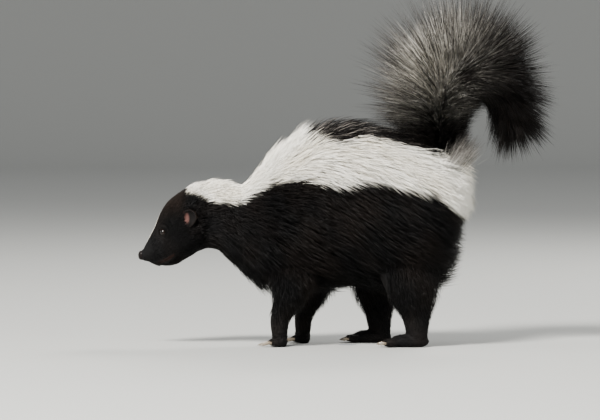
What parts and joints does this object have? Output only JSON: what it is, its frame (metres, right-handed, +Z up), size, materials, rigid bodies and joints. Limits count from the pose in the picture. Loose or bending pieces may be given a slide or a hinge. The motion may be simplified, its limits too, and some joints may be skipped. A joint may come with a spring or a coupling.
{
  "type": "striped skunk",
  "caption": "Life-size still model of a striped skunk standing side on, head low, back arched and bushy tail raised over the rump.",
  "frame": {"origin": "on the floor between the four feet, under the middle of the whole model's box", "axes": "+Z up, the animal faces -X and its left side is towards -Y; X is the longest way, from nose to plume"},
  "size_m": [0.4388, 0.182, 0.3741],
  "materials": {
    "black_fur": "glossy black guard hair",
    "white_fur": "cream white guard hair",
    "grizzled_fur": "long hair, white with black ends",
    "ear_skin": "thin dark pink skin with short hair",
    "nose_skin": "moist pebbled skin",
    "eye": "wet dark brown",
    "claw_horn": "pale brown horn"
  },
  "bodies": {
    "root": {"head": "black_fur", "nose": "nose_skin", "eye_left": "eye", "eye_right": "eye", "ear_left": "ear_skin", "ear_right": "ear_skin", "neck": "white_fur", "torso": "black_fur", "tail_base": "grizzled_fur", "tail_end": "black_fur", "leg_front_left": "black_fur", "paw_front_left": "black_fur", "leg_front_right": "black_fur", "paw_front_right": "black_fur", "leg_hind_left": "black_fur", "paw_hind_left": "black_fur", "leg_hind_right": "black_fur", "paw_hind_right": "black_fur"}
  },
  "joints": []
}
